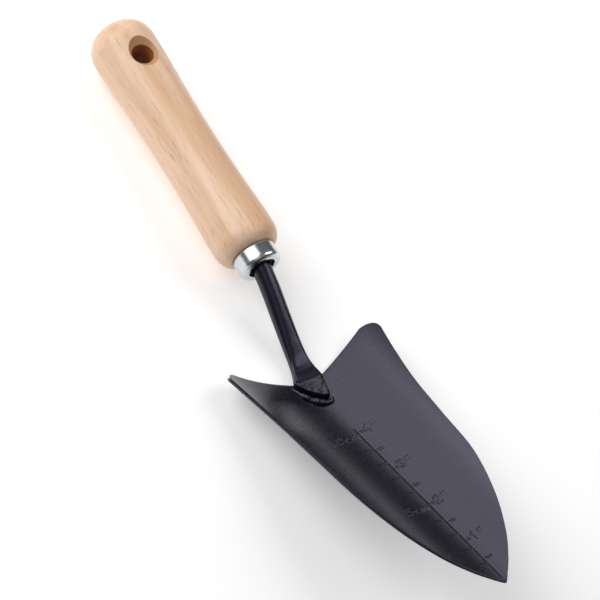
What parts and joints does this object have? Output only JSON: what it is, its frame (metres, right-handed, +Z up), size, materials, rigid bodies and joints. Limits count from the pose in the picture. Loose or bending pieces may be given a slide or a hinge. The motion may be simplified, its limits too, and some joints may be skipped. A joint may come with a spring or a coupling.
{
  "type": "hand trowel",
  "caption": "Hand trowel: pointed trough-shaped steel blade welded to a cranked steel shank, with a plated ferrule and a turned wooden handle drilled for hanging.",
  "frame": {"origin": "under the middle of the whole tool's box, on the surface that it lies on", "axes": "+X runs from the blade's tip to the handle's butt along the surface, +Z is up out of the blade's trough, +Y is sideways"},
  "size_m": [0.3036, 0.0746, 0.0554],
  "materials": {
    "lacquered_wood": "clear satin lacquer over pale hardwood",
    "plated_steel": "bright zinc plating",
    "coated_shank": "semi-gloss black powder coat",
    "coated_blade": "semi-gloss black powder coat with fine orange peel",
    "coated_weld": "semi-gloss black powder coat over a weld bead"
  },
  "bodies": {
    "root": {"wooden_handle": "lacquered_wood", "steel_ferrule": "plated_steel", "shank_with_tang": "coated_shank", "trough_blade": "coated_blade", "weld_bead": "coated_weld"}
  },
  "joints": []
}
